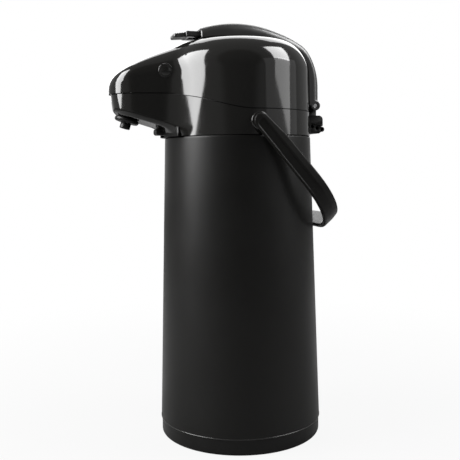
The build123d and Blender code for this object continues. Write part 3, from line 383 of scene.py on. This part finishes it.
def open_round(obj, radius, above):
    """Cuts a round opening about the jug's axis through the top of a skin."""
    work = bmesh.new()
    work.from_mesh(obj.data)
    inside = [
        f for f in work.faces
        if f.calc_center_median().z > above * MM
        and any(math.hypot(v.co.x, v.co.y) < radius * MM for v in f.verts)
    ]
    bmesh.ops.delete(work, geom=inside, context="FACES")
    work.to_mesh(obj.data)
    work.free()


# Head: a domed drum with a beak that narrows towards its tip
head_base = 276.0
crown = 368.0
crown_radius = 210.0
drum_foot = 68.0
drum_shoulder = 66.1
shoulder_round = 20.0
shoulder_z = crown - crown_radius + math.sqrt(crown_radius**2 - drum_shoulder**2)
draft = (drum_foot - drum_shoulder) / (shoulder_z - head_base)

reach = 119.8
tip_half = 20.5
taper = math.radians(8.0)
beak_corner = 20.0
beak_back = -20.0

brow_x = -113.1
brow_z = 332.4
brow_slope = math.radians(31.5)
brow_drop = 0.25
brow_drop_x = -54.0
top_radius = 268.0
top_x = brow_x + top_radius * math.sin(brow_slope)
top_z = brow_z - top_radius * math.cos(brow_slope)
brow_round = 8.0
brow_round_growth = 15.0
brow_round_start = -112.0
brow_round_end = -58.0

flare_top_round = 3.0
flare_round_growth = 8.0
flare_low_z = 326.0
flare_top_z = 352.0

jaw_setback = 1.2
jaw_slope = math.radians(16.5)
jaw_z = 281.0
jaw_start_x = -62.6
jaw_round = 4.0
chin_z = 296.5
chin_lean = (0.95, 0.3)
chin_round = 9.0
jaw_flare = 14.0

seam_z = 298.0
seam_rise = 15.5
seam_start_x = -76.0
seam_end_x = -4.0


def drum_distance(x, y, z):
    r = np.hypot(x, y)
    wall = r - (drum_foot - draft * (z - head_base))
    dome = np.hypot(r, z - (crown - crown_radius)) - crown_radius
    return meet(wall, dome, shoulder_round)


def beak_plan(x, y):
    side = (np.abs(y) - (tip_half + (x + reach) * math.tan(taper))) * math.cos(taper)
    return meet(side, -reach - x, beak_corner)


def upper_distance(x, y, z):
    top = np.hypot(x - top_x, z - top_z) - top_radius + brow_drop * np.maximum(0, x - brow_drop_x)
    edge = brow_round + brow_round_growth * step(x, brow_round_start, brow_round_end)
    beak = np.maximum(meet(beak_plan(x, y), top, edge), x - beak_back)
    flare = flare_top_round + flare_round_growth * (1.0 - step(z, flare_low_z, flare_top_z))
    return join(drum_distance(x, y, z), beak, flare)


def lower_distance(x, y, z):
    floor = (jaw_z - z) * math.cos(jaw_slope) + np.maximum(0, jaw_start_x - x) * math.sin(jaw_slope)
    chin = (jaw_setback - reach - x) * chin_lean[0] + (chin_z - z) * chin_lean[1]
    beak = meet(meet(beak_plan(x - jaw_setback, y), floor, jaw_round), chin, chin_round)
    beak = np.maximum(beak, x - beak_back)
    return join(drum_distance(x, y, z), beak, jaw_flare)


def seam(x, offset):
    """Height of the line where the lid meets the collar, moved up by an offset."""
    return float(seam_z + seam_rise * (1.0 - step(x, seam_start_x, seam_end_x))) + offset


# Skins of the lid and the collar, opened for the plunger's guide and for the latch's shank and tab
head_wall = 2.6
lid_gap = 0.55
collar_gap = 0.15
base_gap = 0.05
guide_hole = 11.3
guide_hole_z = 350.0
pocket_front, pocket_back = -72.0, -45.0
pocket_half = 13.9
pocket_floor = 276.9
pocket_top = 284.2
tab_front, tab_back = -76.0, -60.0
tab_half = 7.9
tab_low, tab_top = 274.0, 290.0

skin_cell = 1.5
lid_skin = head_shell(
    "lid_skin", upper_distance, (-123, -72, 288), (72, 72, 372), skin_cell,
    [(lambda x: seam(x, lid_gap), True)], "lid", gloss, head_wall,
)
collar_skin = head_shell(
    "collar_skin", lower_distance, (-123, -72, 270), (72, 72, 322), skin_cell,
    [(lambda x: seam(x, -collar_gap), False), (lambda x: head_base + base_gap, True)],
    "jug", gloss, head_wall,
)
open_round(lid_skin, guide_hole, guide_hole_z)
open_box(collar_skin, (pocket_front, -pocket_half, pocket_floor), (pocket_back, pocket_half, pocket_top))
open_box(collar_skin, (tab_front, -tab_half, tab_low), (tab_back, tab_half, tab_top))
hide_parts("lid_cover")
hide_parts("collar")

# Thin lip inside the seam
lip_inset = 2.75
lip_plan_z = 296.0
lip_rise = 1.6
lip_drop = 2.5
lip_wall = 0.5


def lip_distance(x, y, z):
    return lower_distance(x, y, np.minimum(z, lip_plan_z)) + lip_inset


head_shell(
    "seam_lip", lip_distance, (-119, -68, 286), (68, 68, 322), skin_cell * 1.5,
    [(lambda x: seam(x, lip_rise), False), (lambda x: seam(x, -lip_drop), True)],
    "jug", moulded, lip_wall,
)

# Collar's deck with the filling mouth, the latch's pocket and the seats of the elbow and the seal
deck_low, deck_top = 276.1, 281.0
deck_radius = 65.2
mouth_bore = 28.0
mouth_radius = 31.0
mouth_top = 296.0
elbow_z = 289.0
elbow_seat = 6.0
elbow_back = -20.0
seal_seat = 34.9
seal_top = 278.5


def deck_distance(x, y, z):
    r = np.hypot(x, y)
    plate = meet(r - deck_radius, slab(z, deck_low, deck_top), 0.3)
    mouth = meet(r - mouth_radius, slab(z, deck_low, mouth_top), 0.8)
    whole = meet(join(plate, mouth, 2.0), mouth_bore - r, 0.5)
    pocket = np.maximum(slab(x, pocket_front, pocket_back), np.abs(y) - pocket_half)
    pocket = np.maximum(pocket, pocket_floor - z)
    elbow = np.maximum(np.hypot(y, z - elbow_z) - elbow_seat, x - elbow_back)
    seal = np.maximum(r - seal_seat, z - seal_top)
    return np.maximum(whole, -np.minimum(np.minimum(pocket, elbow), seal))


form("collar_deck", deck_distance, (-67, -67, 274), (67, 67, 298), 0.9, "jug", gloss)

# Hubs on the collar that the bail turns on
pivot_z = 287.5
hub_radius = 7.8
hub_bore = 3.55
hub_foot = 64.0
hub_face = 70.3
hub_edge = 0.5
hub_outline = [
    (hub_bore, hub_foot), (hub_radius, hub_foot), (hub_radius, hub_face - hub_edge),
    (hub_radius - hub_edge, hub_face), (hub_bore, hub_face),
]
for sign, label in ((1, "left"), (-1, "right")):
    lathe(
        "bail_hub_" + label, hub_outline, gloss, "jug", 48,
        Matrix.Translation((0, 0, pivot_z * MM)) @ Matrix.Rotation(-sign * math.pi / 2, 4, "X"),
    )

# Lever: a channel-shaped strap with rounded edges, its ears, and the presser under its crest
hinge_x, hinge_z = 72.2, 305.3
pin_hole = 2.05
lever_x, lever_z = -1.8, 269.8
lever_radius = 110.97
lever_back = 76.2
lever_back_round = 17.0
lever_half = 18.0
lever_wall = 2.6
lever_edge = 9.5
lever_edge_loss = 3.5
lever_edge_start, lever_edge_end = 30.0, 68.0
lever_nose = -38.0
lever_nose_round = 1.6
lever_lift = 0.5
ear_radius = 4.8
ear_round = 0.8
presser_radius = 7.0
presser_z = 375.6
presser_half = 3.6
presser_round = 0.8
ear_gap_radius = 6.2
ear_gap_half = 9.3


def lever_distance(x, y, z):
    arc = np.hypot(x - lever_x, z - lever_z) - lever_radius
    outer = meet(arc, x - lever_back, lever_back_round)
    side = np.abs(y) - lever_half
    edge = lever_edge - lever_edge_loss * step(x, lever_edge_start, lever_edge_end)
    strap = meet(outer, side, edge)
    channel = meet(outer + lever_wall, side + lever_wall, edge - lever_wall)
    strap = meet(strap, -channel, 0.5)
    strap = meet(strap, lever_lift - upper_distance(x, y, z), 0.5)
    strap = meet(strap, lever_nose - x, lever_nose_round)
    strap = meet(strap, hinge_z - z, 0.5)
    turn = np.hypot(x - hinge_x, z - hinge_z)
    ears = meet(turn - ear_radius, side, ear_round)
    presser = meet(np.hypot(x, y) - presser_radius, np.abs(z - presser_z) - presser_half, presser_round)
    whole = np.minimum(np.minimum(strap, ears), presser)
    whole = np.maximum(whole, -np.maximum(turn - ear_gap_radius, np.abs(y) - ear_gap_half))
    return np.maximum(whole, pin_hole - turn)


lever_strap = form(
    "lever_strap", lever_distance, (-41, -20, 298), (79, 20, 383), 0.8, "lever", satin,
)
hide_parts("lever_arm")

# Lock: a slide with a slot for the catch, and a thumb tab with grooves across it
slide_front, slide_back = -50.5, -29.0
slide_low, slide_top = 366.6, 371.8
slide_half = 11.5
slot_front, slot_back = -46.5, -26.4
slot_half = 4.5
thumb_front, thumb_back = -61.5, -49.0
thumb_low, thumb_top = 365.9, 369.5
thumb_low_rise, thumb_top_rise = 1.0, 1.7
thumb_run = 12.0
thumb_half = 9.0
groove_count = 4
groove_radius = 0.75
groove_x, groove_z = -59.0, 370.0
groove_pitch, groove_rise = 2.1, 0.3


def lock_distance(x, y, z):
    slide = meet(slab(x, slide_front, slide_back), np.abs(y) - slide_half, 1.0)
    slide = meet(slide, slab(z, slide_low, slide_top), 1.0)
    slot = np.maximum(slab(x, slot_front, slot_back), np.abs(y) - slot_half)
    slide = meet(slide, -slot, 0.3)
    rise = (x - thumb_front) / thumb_run
    thumb = meet(slab(x, thumb_front, thumb_back), np.abs(y) - thumb_half, 2.4)
    thumb = meet(thumb, slab(z, thumb_low + thumb_low_rise * rise, thumb_top + thumb_top_rise * rise), 1.0)
    for k in range(groove_count):
        groove = np.hypot(x - groove_x - groove_pitch * k, z - groove_z - groove_rise * k) - groove_radius
        thumb = meet(thumb, -groove, 0.2)
    return np.minimum(slide, thumb)


lock_slide = form(
    "lock_slide", lock_distance, (-63, -13, 364), (-27, 13, 374), 0.4, "lock", satin,
)
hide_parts("lever_lock")

# Bail: a strap with a channel down its outer face, in a frame with s along it and t across it
bail_turn = math.radians(49.3)
bail_along = Vector((math.cos(bail_turn), 0, -math.sin(bail_turn)))
bail_across = Vector((math.sin(bail_turn), 0, math.cos(bail_turn)))
bail_axes = Matrix((bail_along, (0, 1, 0), bail_across)).transposed()
bail_place = Matrix.Translation((0, 0, pivot_z * MM)) @ bail_axes.to_4x4()
bail_reach = 122.5
bail_half = 75.3
bail_wall = 4.5
bail_corner = 56.0
bail_eye = 6.5
bail_upper_growth, bail_upper_run = 2.7, 24.0
bail_lower_growth, bail_lower_run = 1.3, 100.0
bail_lean = 0.14
bail_lean_start = 2.6
channel_top = 2.4
channel_rim = 1.5
channel_depth = 0.9
channel_lift = 0.25
channel_fade_start, channel_fade_end = 66.0, 104.0
trunnion_radius = 3.5
trunnion_y = 68.5
trunnion_half = 5.0


def bail_distance(s, y, t):
    outer = meet(np.abs(y) - bail_half, s - bail_reach, bail_corner)
    upper = bail_eye + bail_upper_growth * np.clip(s / bail_upper_run, 0, 1)
    lower = bail_eye + bail_lower_growth * np.clip(s / bail_lower_run, 0, 1)
    edge = np.where(s > 0, np.maximum(t - upper, -t - lower), np.hypot(s, t) - bail_eye)
    face = outer + bail_lean * np.maximum(0, t - bail_lean_start)
    strap = meet(meet(face, -outer - bail_wall, 1.0), edge, 1.1)
    channel = meet(np.maximum(t - channel_top, -t - lower + channel_rim), -channel_rim - s, 3.0)
    depth = channel_depth * (1.0 - step(s, channel_fade_start, channel_fade_end)) - channel_lift
    strap = meet(strap, -meet(channel, -depth - outer, 0.2), 0.25)
    trunnion = np.maximum(np.hypot(s, t) - trunnion_radius, np.abs(np.abs(y) - trunnion_y) - trunnion_half)
    return np.minimum(strap, trunnion)


bail_strap = form(
    "bail_strap", bail_distance, (-9, -78, -11), (125, 78, 12), 0.8, "bail", grip, bail_place,
)
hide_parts("handle")

# Knuckle of the lid, between the bracket's lugs
knuckle_radius = 4.1
knuckle_half = 4.7
web_x = 63.0
web_low, web_low_slope = 301.2, -0.08
web_top, web_top_slope = 314.0, -0.5


def knuckle_distance(x, y, z):
    turn = np.hypot(x - hinge_x, z - hinge_z)
    lean = x - web_x
    web = slab(z, web_low + web_low_slope * lean, web_top + web_top_slope * lean)
    barrel = np.minimum(turn - knuckle_radius, meet(slab(x, web_x, hinge_x), web, 0.6))
    return np.maximum(meet(barrel, np.abs(y) - knuckle_half, 0.5), pin_hole - turn)


form("lid_knuckle", knuckle_distance, (61, -7, 298), (79, 7, 317), 0.5, "lid", gloss)

# Round plugs on the beak's sides, with a ring groove
plug_x, plug_z = -73.1, 333.4
plug_y = tip_half + (reach + plug_x) * math.tan(taper)
plug_outline = [
    (0.0, 0.9), (4.3, 0.85), (4.6, 0.5), (4.9, 0.5), (5.2, 0.85),
    (5.9, 0.8), (6.2, 0.5), (6.2, -0.6), (0.0, -0.6),
]
for sign, label in ((1, "left"), (-1, "right")):
    outwards = Vector((-math.sin(taper), sign * math.cos(taper), 0))
    facing_out = outwards.to_track_quat("Z", "Y").to_matrix().to_4x4()
    plug = lathe(
        "plug_" + label, plug_outline, gloss, "lid", 64,
        Matrix.Translation(Vector((plug_x, sign * plug_y, plug_z)) * MM) @ facing_out, closed=False,
    )
    if label == "left":
        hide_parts("side_plugs")

# Rolled hem along the shell's lower edge, dressed in the lighter black of its painted highlight
hem_z = 14.0
hem_radius = 74.6
hem_roll = 0.6
hem_outline = [
    (hem_radius + hem_roll * math.cos(a), hem_z + hem_roll + hem_roll * math.sin(a))
    for a in (math.radians(30.0 * k) for k in range(12))
]
lathe("shell_hem", hem_outline, painted_hem_highlight, "jug", 240)

# Floor: grey paper in reflections, and for the camera mostly white with a trace of the object's shadow
floor_half = 6.0
floor_grey = 0.22
floor_near, floor_far = 0.08, 0.7
floor_glow = 0.91


def floor_paper():
    """Diffuse paper, mixed for camera rays with an even white that takes over away from the object."""
    mat = bpy.data.materials.new("floor_paper")
    mat.use_nodes = True
    tree = mat.node_tree
    tree.nodes.clear()
    paper = add_node(tree, "ShaderNodeBsdfDiffuse")
    paper.inputs["Color"].default_value = (floor_grey, floor_grey, floor_grey, 1)
    glow = add_node(tree, "ShaderNodeEmission")
    glow.inputs["Strength"].default_value = 1.0
    coords = add_node(tree, "ShaderNodeTexCoord")
    away = add_node(tree, "ShaderNodeVectorMath", operation="LENGTH")
    fade = add_node(tree, "ShaderNodeMapRange", interpolation_type="SMOOTHSTEP")
    fade.inputs["From Min"].default_value = floor_near
    fade.inputs["From Max"].default_value = floor_far
    fade.inputs["To Min"].default_value = floor_glow
    fade.inputs["To Max"].default_value = 1.0
    rays = add_node(tree, "ShaderNodeLightPath")
    amount = add_node(tree, "ShaderNodeMath", operation="MULTIPLY")
    mix = add_node(tree, "ShaderNodeMixShader")
    out = add_node(tree, "ShaderNodeOutputMaterial")
    tree.links.new(coords.outputs["Object"], away.inputs[0])
    tree.links.new(away.outputs["Value"], fade.inputs["Value"])
    tree.links.new(rays.outputs["Is Camera Ray"], amount.inputs[0])
    tree.links.new(fade.outputs["Result"], amount.inputs[1])
    tree.links.new(amount.outputs["Value"], mix.inputs["Fac"])
    tree.links.new(paper.outputs["BSDF"], mix.inputs[1])
    tree.links.new(glow.outputs["Emission"], mix.inputs[2])
    tree.links.new(mix.outputs["Shader"], out.inputs["Surface"])
    return mat


floor_corners = [(i * floor_half, j * floor_half, 0) for i, j in ((-1, -1), (1, -1), (1, 1), (-1, 1))]
floor_mesh = bpy.data.meshes.new("floor")
floor_mesh.from_pydata(floor_corners, [], [(0, 1, 2, 3)])
floor = bpy.data.objects.new("floor", floor_mesh)
bpy.context.scene.collection.objects.link(floor)
dress(floor, floor_paper())

# World: white for the camera, and for reflections a studio that is bright behind the object
bright_side = (0.165, 0.85, -0.5)
studio_stops = ((0.06, 0.1), (0.1, 0.27), (0.8, 0.3), (0.96, 0.9))


def studio_world():
    """A studio whose brightness follows each ray's turn towards the bright side."""
    world = bpy.data.worlds.new("studio")
    world.use_nodes = True
    tree = world.node_tree
    tree.nodes.clear()
    coords = add_node(tree, "ShaderNodeTexCoord")
    towards_back = add_node(tree, "ShaderNodeVectorMath", operation="DOT_PRODUCT")
    towards_back.inputs[1].default_value = bright_side
    half_turn = add_node(tree, "ShaderNodeMapRange")
    half_turn.inputs["From Min"].default_value = -1.0
    half_turn.inputs["From Max"].default_value = 1.0
    ramp = add_node(tree, "ShaderNodeValToRGB")
    for position, strength in studio_stops:
        stop = ramp.color_ramp.elements.new(position)
        stop.color = (strength, strength, strength, 1.0)
    ramp.color_ramp.elements.remove(ramp.color_ramp.elements[0])
    ramp.color_ramp.elements.remove(ramp.color_ramp.elements[-1])
    studio = add_node(tree, "ShaderNodeBackground")
    white = add_node(tree, "ShaderNodeBackground")
    white.inputs["Strength"].default_value = 1.0
    white.inputs["Color"].default_value = (1, 1, 1, 1)
    rays = add_node(tree, "ShaderNodeLightPath")
    mix = add_node(tree, "ShaderNodeMixShader")
    out = add_node(tree, "ShaderNodeOutputWorld")
    tree.links.new(coords.outputs["Generated"], towards_back.inputs[0])
    tree.links.new(towards_back.outputs["Value"], half_turn.inputs["Value"])
    tree.links.new(half_turn.outputs["Result"], ramp.inputs["Fac"])
    tree.links.new(ramp.outputs["Color"], studio.inputs["Color"])
    tree.links.new(rays.outputs["Is Camera Ray"], mix.inputs["Fac"])
    tree.links.new(studio.outputs["Background"], mix.inputs[1])
    tree.links.new(white.outputs["Background"], mix.inputs[2])
    tree.links.new(mix.outputs["Shader"], out.inputs["Surface"])
    return world


bpy.context.scene.world = studio_world()

# Lights
head_middle = Vector((0, 0, 0.33))


def direction(azimuth, elevation):
    """Unit vector towards an azimuth and an elevation, in degrees."""
    a, e = math.radians(azimuth), math.radians(elevation)
    return Vector((math.cos(a) * math.cos(e), math.sin(a) * math.cos(e), math.sin(e)))


def softbox(name, low, high, distance, spread_angle, radiance):
    """A box that reaches from one azimuth and elevation to another, in degrees, seen from the head."""
    low, high = direction(*low), direction(*high)
    facing = (low + high).normalized()
    rise = (high - low).normalized()
    data = bpy.data.lights.new(name, "AREA")
    data.shape = "RECTANGLE"
    data.size = 2 * distance * math.tan(math.radians(spread_angle / 2))
    data.size_y = 2 * distance * math.tan(low.angle(high) / 2)
    data.energy = radiance * math.pi * data.size * data.size_y
    obj = bpy.data.objects.new(name, data)
    bpy.context.scene.collection.objects.link(obj)
    turn = Matrix((rise.cross(facing), rise, facing)).transposed().to_4x4()
    obj.matrix_world = Matrix.Translation(facing * distance + head_middle) @ turn


softbox("left_box", (190.0, 2.8), (163.0, 49.0), 1.1, 34.0, 14.0)
softbox("back_box", (334.0, 27.0), (354.0, 56.0), 1.3, 28.0, 12.0)
softbox("right_glow", (328.0, 1.0), (332.0, 30.0), 1.9, 60.0, 0.4)
softbox("right_band", (328.0, 5.0), (336.0, 30.0), 1.6, 28.0, 3.0)
softbox("rim_box", (74.0, 4.0), (74.0, 62.0), 2.0, 50.0, 3.4)

# Camera, fitted to the photograph: its turn about the jug, its place in millimetres and its lens
camera_turn = math.radians(15.8)
camera_pitch = 0.0433
camera_roll = -0.0110
camera_side = -7.6
camera_back = 680.2
camera_height = 250.9
photo_pixels = 460.0
lens_pixels = 718.7
centre_row = 195.0
sensor_width = 36.0

right = Vector((math.cos(camera_turn), -math.sin(camera_turn), 0))
ahead = Vector((math.sin(camera_turn), math.cos(camera_turn), 0))
up = Vector((0, 0, 1))
look = ahead * math.cos(camera_pitch) - up * math.sin(camera_pitch)
top = ahead * math.sin(camera_pitch) + up * math.cos(camera_pitch)
image_right = right * math.cos(camera_roll) + top * math.sin(camera_roll)
image_up = top * math.cos(camera_roll) - right * math.sin(camera_roll)
camera_place = (right * camera_side - ahead * camera_back + up * camera_height) * MM

cam_data = bpy.data.cameras.new("camera")
cam_data.sensor_width = sensor_width
cam_data.lens = lens_pixels / photo_pixels * sensor_width
cam_data.shift_y = (centre_row - photo_pixels / 2) / photo_pixels
cam_data.clip_start = 0.05
cam_data.clip_end = 30.0
cam = bpy.data.objects.new("camera", cam_data)
bpy.context.scene.collection.objects.link(cam)
camera_axes = Matrix((image_right, image_up, -look)).transposed()
cam.matrix_world = Matrix.Translation(camera_place) @ camera_axes.to_4x4()

scene = bpy.context.scene
scene.camera = cam
scene.view_settings.view_transform = "Standard"
